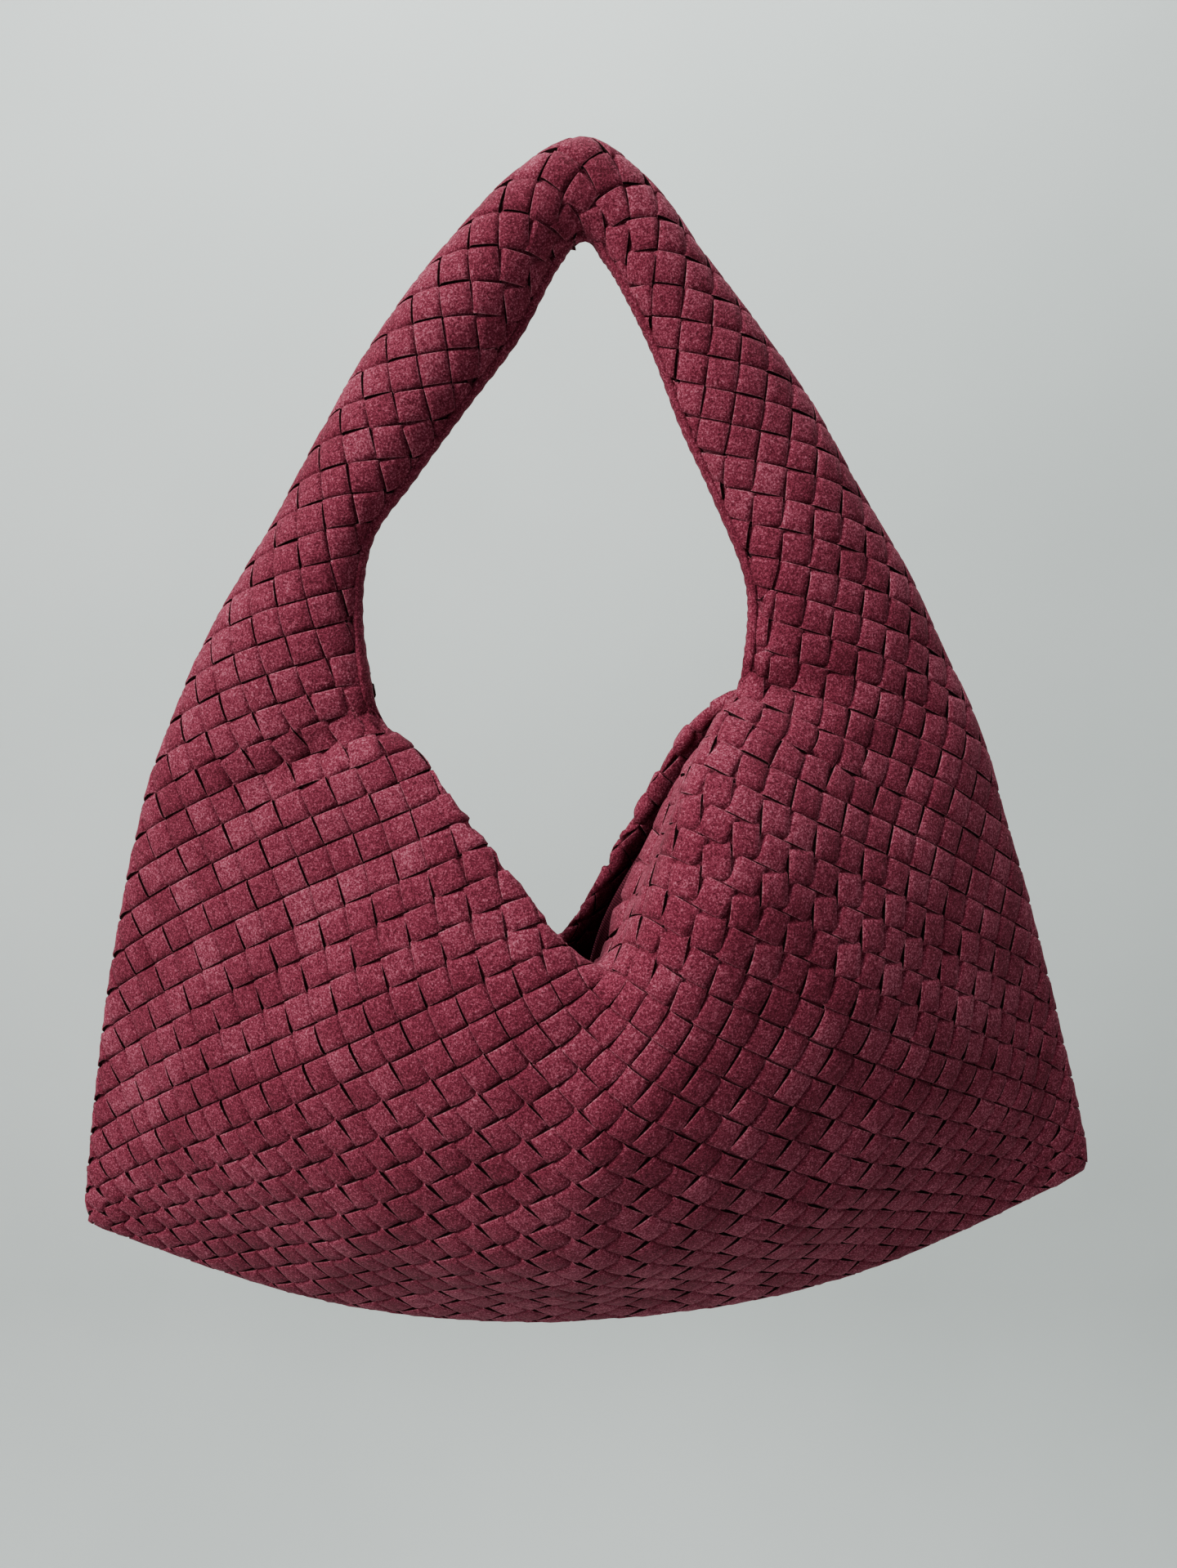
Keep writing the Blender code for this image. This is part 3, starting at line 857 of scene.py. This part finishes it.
def band_mesh(name, outer, inner, material):
    """Closed strip between two grids of points of the same shape."""
    rows, columns = outer.shape[:2]
    index = np.arange(rows * columns).reshape(rows, columns)
    below = index + rows * columns
    faces = []
    for i in range(rows - 1):
        for j in range(columns - 1):
            faces.append((index[i, j], index[i + 1, j], index[i + 1, j + 1], index[i, j + 1]))
            faces.append((below[i, j], below[i, j + 1], below[i + 1, j + 1], below[i + 1, j]))
        for j in (0, columns - 1):
            faces.append((index[i, j], below[i, j], below[i + 1, j], index[i + 1, j]))
    for i in (0, rows - 1):
        for j in range(columns - 1):
            faces.append((index[i, j], index[i, j + 1], below[i, j + 1], below[i, j]))
    points = np.concatenate([outer.reshape(-1, 3), inner.reshape(-1, 3)])
    mesh = bpy.data.meshes.new(name)
    mesh.from_pydata(points.tolist(), [], [tuple(map(int, face)) for face in faces])
    mesh.materials.append(material)
    mesh.shade_smooth()
    tidy = bmesh.new()
    tidy.from_mesh(mesh)
    bmesh.ops.recalc_face_normals(tidy, faces=tidy.faces)
    tidy.to_mesh(mesh)
    tidy.free()
    return add_object(name, mesh)


TAPE_COLUMNS = 5
BINDING_COLUMNS = 9
BINDING_DEPTH = 0.0010  # it reaches this far below the strips' own surface
BINDING_WAVE = 0.00025
BINDING_TAPER = 0.5  # stations over which its ends thin out


def mouth_tape(name, surface, layer, material):
    """Tape over the strips' cut ends, along the end of the turned-in hem."""
    rows = np.arange((LEFT_MOUTH + 1) * STEPS, (RIGHT_MOUTH - 1) * STEPS, 2).astype(float)
    a = np.repeat(rows, TAPE_COLUMNS)
    steps = np.interp(a, np.arange(surface.span + 1), surface.steps[layer])
    part = np.tile(np.linspace(1, 0, TAPE_COLUMNS), len(rows))
    t = COLUMNS - 0.01 - part * TAPE_WIDTH / steps
    layers = np.full(len(a), layer)
    points, normals = surface.point(layers, a, t), surface.normal(layers, a, t)
    low = points + normals * TAPE_LIFT
    high = points + normals * (TAPE_LIFT + TAPE_THICK)
    shape = (len(rows), TAPE_COLUMNS, 3)
    return band_mesh(name, high.reshape(shape), low.reshape(shape), material)


def seam_binding(name, surface, start, end, material):
    """Folded strip over the seam along the handle's inner edge."""
    rows = np.arange(start * STEPS, end * STEPS + 1, 1.0)
    across = np.linspace(-1, 1, BINDING_COLUMNS)
    outer, inner = [], []
    for part in across:
        layer = FRONT if part <= 0 else BACK
        layers = np.full(len(rows), layer)
        steps = np.interp(rows, np.arange(surface.span + 1), surface.steps[layer])
        lips = np.interp(rows, np.arange(surface.span + 1), surface.lips[layer])
        t = lips - abs(part) * BINDING_REACH / steps
        points, normals = surface.point(layers, rows, t), surface.normal(layers, rows, t)
        wave = BINDING_WAVE * np.sin(rows * 1.9 + 2 * part)
        ends = np.minimum(rows - rows[0], rows[-1] - rows) / (BINDING_TAPER * STEPS)
        proud = (BINDING_THICK * (1 - 0.7 * part**4) + wave) * np.clip(ends, 0, 1)
        outer.append(points + normals * (BINDING_LIFT + proud)[:, None])
        inner.append(points - normals * BINDING_DEPTH)
    return band_mesh(name, np.stack(outer, axis=1), np.stack(inner, axis=1), material)


# ---- materials

def noise_node(nodes, links, coordinates, scale, detail, roughness=0.5):
    node = nodes.new("ShaderNodeTexNoise")
    node.inputs["Scale"].default_value = scale
    node.inputs["Detail"].default_value = detail
    node.inputs["Roughness"].default_value = roughness
    links.new(coordinates, node.inputs["Vector"])
    return node.outputs["Fac"]


def math_node(nodes, links, operation, first, second):
    node = nodes.new("ShaderNodeMath")
    node.operation = operation
    for socket, value in zip(node.inputs, (first, second)):
        if isinstance(value, float):
            socket.default_value = value
        else:
            links.new(value, socket)
    return node.outputs["Value"]


def color_ramp(nodes, links, factor, stops):
    node = nodes.new("ShaderNodeValToRGB")
    elements = node.color_ramp.elements
    while len(elements) < len(stops):
        elements.new(0.5)
    for element, (position, color) in zip(elements, stops):
        element.position = position
        element.color = (*color, 1)
    links.new(factor, node.inputs["Fac"])
    return node.outputs["Color"]


def bump(nodes, links, height, distance, shader):
    node = nodes.new("ShaderNodeBump")
    node.inputs["Distance"].default_value = distance
    links.new(height, node.inputs["Height"])
    links.new(node.outputs["Normal"], shader.inputs["Normal"])


def new_material(name, roughness):
    material = bpy.data.materials.new(name)
    material.use_nodes = True
    nodes, links = material.node_tree.nodes, material.node_tree.links
    shader = nodes["Principled BSDF"]
    shader.inputs["Roughness"].default_value = roughness
    shader.inputs["Specular IOR Level"].default_value = 0.12
    coordinates = nodes.new("ShaderNodeTexCoord").outputs["Object"]
    return material, nodes, links, shader, coordinates


def suede_material(name, stops, sheen):
    """Brushed microsuede: blotches of turned nap, speckle of single fibres, soft sheen."""
    material, nodes, links, shader, coordinates = new_material(name, 0.92)
    tone = nodes.new("ShaderNodeAttribute")
    tone.attribute_name = "tone"
    blotch = noise_node(nodes, links, coordinates, 34.0, 3.0)
    nap = noise_node(nodes, links, coordinates, 380.0, 3.0, 0.7)
    speckle = noise_node(nodes, links, coordinates, 1100.0, 2.0, 0.8)
    mix = math_node(nodes, links, "MULTIPLY", tone.outputs["Fac"], 0.12)
    for source, weight in ((blotch, 0.45), (nap, 0.6), (speckle, 1.9)):
        part = math_node(nodes, links, "MULTIPLY", source, weight)
        mix = math_node(nodes, links, "ADD", mix, part)
    mix = math_node(nodes, links, "SUBTRACT", mix, 1.035)
    links.new(color_ramp(nodes, links, mix, stops), shader.inputs["Base Color"])
    shader.inputs["Sheen Weight"].default_value = sheen
    shader.inputs["Sheen Roughness"].default_value = 0.45
    shader.inputs["Sheen Tint"].default_value = (0.95, 0.55, 0.62, 1)
    height = math_node(nodes, links, "ADD", nap, speckle)
    bump(nodes, links, height, 0.00035, shader)
    return material


def edge_shade_material():
    """Cut edge of a strip: the core's own darker colour with a little dyed fibre in it, painted near
    black to stand for the shade in the gaps between strips.
    """
    material, nodes, links, shader, coordinates = new_material("cut_edge_shade", 0.95)
    fibre = noise_node(nodes, links, coordinates, 900.0, 4.0, 0.7)
    # Near-black stops: painted shade of the gaps, over the core's own darker colour.
    color = color_ramp(nodes, links, fibre, ((0.35, (0.010, 0.004, 0.004)),
                                             (0.60, (0.022, 0.007, 0.008)),
                                             (0.80, (0.085, 0.020, 0.028))))
    links.new(color, shader.inputs["Base Color"])
    bump(nodes, links, fibre, 0.0004, shader)
    return material


def tape_material():
    """Narrow dark twill tape."""
    material, nodes, links, shader, coordinates = new_material("mouth_tape", 0.8)
    twill = nodes.new("ShaderNodeTexWave")
    twill.bands_direction = "DIAGONAL"
    twill.inputs["Scale"].default_value = 320.0
    twill.inputs["Distortion"].default_value = 1.5
    links.new(coordinates, twill.inputs["Vector"])
    color = color_ramp(nodes, links, twill.outputs["Fac"], ((0.0, (0.045, 0.006, 0.012)),
                                                            (1.0, (0.110, 0.014, 0.028))))
    links.new(color, shader.inputs["Base Color"])
    bump(nodes, links, twill.outputs["Fac"], 0.0003, shader)
    return material


def webbing_material():
    """Plain woven black webbing."""
    material, nodes, links, shader, coordinates = new_material("core_webbing", 0.75)
    ribs = nodes.new("ShaderNodeTexWave")
    ribs.inputs["Scale"].default_value = 180.0
    ribs.inputs["Distortion"].default_value = 0.8
    links.new(coordinates, ribs.inputs["Vector"])
    color = color_ramp(nodes, links, ribs.outputs["Fac"], ((0.0, (0.010, 0.010, 0.011)),
                                                           (1.0, (0.045, 0.045, 0.048))))
    links.new(color, shader.inputs["Base Color"])
    bump(nodes, links, ribs.outputs["Fac"], 0.0004, shader)
    return material


def plaster_material(name, dark, light):
    """Pale painted plaster for the backdrop and floor."""
    material, nodes, links, shader, coordinates = new_material(name, 0.9)
    cloud = noise_node(nodes, links, coordinates, 1.3, 4.0)
    color = color_ramp(nodes, links, cloud, ((0.3, dark), (0.7, light)))
    links.new(color, shader.inputs["Base Color"])
    return material


# ---- the bag

def lay_strips(net):
    """Rings and tone of every strip."""
    rng = np.random.default_rng(SEED)
    strips = []
    for strip in trace_strips(net):
        if len(strip) > 1:
            strips.append((ribbon(net, StripPath(net, strip), rng), rng.random()))
    return strips


NAP_STOPS = ((0.20, (0.070, 0.0060, 0.0140)), (0.45, (0.150, 0.0160, 0.0350)),
             (0.62, (0.220, 0.0300, 0.0580)), (0.90, (0.420, 0.1150, 0.1650)))
# Lighter suede for the strips' shoulders: a painted highlight along the edges, where they catch the
# light.
RIM_HIGHLIGHT_STOPS = ((0.20, (0.110, 0.0130, 0.0260)), (0.50, (0.240, 0.0420, 0.0700)),
             (0.90, (0.480, 0.1650, 0.2150)))


def build_bag():
    rows = spline_rows(all_stations())
    surface = Surface(rows)
    net = Net(surface, rows)
    suede = suede_material("suede", NAP_STOPS, 0.05)
    # Lighter copy of the suede that paints a highlight on every strip's shoulder rims.
    rim_highlight = suede_material("suede_rim_highlight", RIM_HIGHLIGHT_STOPS, 0.12)
    # Near-black sides of every strip, partly painted shade of the gaps between strips.
    cut_edge_shade = edge_shade_material()
    strips = lay_strips(net)
    stands_for = ("front_panel", "back_panel", "handle_sleeve")
    for group in range(GROUPS):
        piece = strips_mesh(f"woven_strips_{group + 1}", strips[group::GROUPS],
                            (suede, cut_edge_shade, rim_highlight))
        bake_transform(piece)
        if group < len(stands_for):
            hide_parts(stands_for[group])
    tape = tape_material()
    for layer, name in ((FRONT, "front"), (BACK, "back")):
        piece = mouth_tape(f"{name}_mouth_tape", surface, layer, tape)
        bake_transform(piece)
        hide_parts(f"{name}_mouth_facing")
    for side, start, end in (("left", 0.4, LEFT_MOUTH), ("right", RIGHT_MOUTH, 24.6)):
        piece = seam_binding(f"{side}_seam_binding", surface, start, end, suede)
        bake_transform(piece)
        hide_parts(f"{side}_handle_binding")
    bpy.data.objects["handle_core_webbing"].data.materials[0] = webbing_material()


# ---- stage, lights and camera

WALL_Y = 1.3
WALL_X = 4.5  # side walls, to either side
WALL_TOP = 4.0
STAGE_FRONT = -3.5
FLOOR_Z = -1.98
CORNER_R = 2.0  # round corners between the walls
COVE_R = 0.5  # and between the walls and the floor
ROUND_STEPS = 12


def wall_plan():
    """The walls' line on the floor, as (x, y, way inwards x, y): left, back and right."""
    plan = [(-WALL_X, STAGE_FRONT, 1.0, 0.0)]
    for side, first in ((-1, math.pi), (1, math.pi / 2)):
        for step in range(ROUND_STEPS + 1):
            angle = first - math.pi / 2 * step / ROUND_STEPS
            x, y = math.cos(angle), math.sin(angle)
            plan.append((side * (WALL_X - CORNER_R) + CORNER_R * x, WALL_Y - CORNER_R + CORNER_R * y,
                         -x, -y))
    plan.append((WALL_X, STAGE_FRONT, -1.0, 0.0))
    return plan


def build_stage():
    """Floor that curves up into plain walls behind and at both sides."""
    profile = []
    for step in range(ROUND_STEPS + 1):
        angle = math.pi / 2 * step / ROUND_STEPS
        profile.append((COVE_R * (1 - math.sin(angle)), FLOOR_Z + COVE_R * (1 - math.cos(angle))))
    profile.append((0.0, WALL_TOP))
    plan = wall_plan()
    points = [(x + in_x * reach, y + in_y * reach, z) for x, y, in_x, in_y in plan
              for reach, z in profile]
    index = np.arange(len(points)).reshape(len(plan), len(profile))
    faces = [index[:, 0].tolist()]
    quads = np.stack([index[:-1, :-1], index[:-1, 1:], index[1:, 1:], index[1:, :-1]], axis=-1)
    faces += quads.reshape(-1, 4).tolist()
    mesh = bpy.data.meshes.new("studio_sweep")
    mesh.from_pydata(points, [], faces)
    mesh.shade_smooth()
    mesh.materials.append(plaster_material("pale_plaster", (0.66, 0.69, 0.68), (0.74, 0.765, 0.755)))
    add_object(mesh.name, mesh)


def area_light(name, place, target, size, power, color):
    light = bpy.data.lights.new(name, "AREA")
    light.size = size
    light.energy = power
    light.color = color
    item = add_object(name, light)
    item.location = place
    item.rotation_euler = (Vector(target) - Vector(place)).to_track_quat("-Z", "Y").to_euler()
    item.visible_camera = False


def build_lights():
    world = bpy.data.worlds.new("studio")
    bpy.context.scene.world = world
    world.use_nodes = True
    background = world.node_tree.nodes["Background"]
    background.inputs["Color"].default_value = (0.88, 0.95, 0.95, 1)
    background.inputs["Strength"].default_value = 0.27
    area_light("window_light", (-1.7, -1.0, 1.1), (0, 0, -0.3), 0.9, 80, (1.0, 0.99, 0.97))
    area_light("top_fill", (-0.3, -0.6, 2.0), (0, 0, -0.3), 1.5, 5, (0.95, 0.98, 1.0))
    area_light("wall_light", (0, 0.45, 1.9), (0, WALL_Y, -0.5), 1.6, 64, (0.90, 1.0, 0.97))


SENSOR = 36
IMAGE_HEIGHT = 1919
FOCAL_LENGTH = 1397  # in the same unit as the image's height
CAMERA_PLACE = (-0.0019, -0.575, -0.144)
CAMERA_DOWN = 11.4  # degrees below the level


def build_camera():
    data = bpy.data.cameras.new("camera")
    data.sensor_width = SENSOR
    data.lens = SENSOR * FOCAL_LENGTH / IMAGE_HEIGHT
    data.clip_start = 0.01
    item = add_object("camera", data)
    item.location = CAMERA_PLACE
    item.rotation_euler = (math.radians(90 - CAMERA_DOWN), 0, 0)
    bpy.context.scene.camera = item


build_bag()
build_stage()
build_lights()
build_camera()
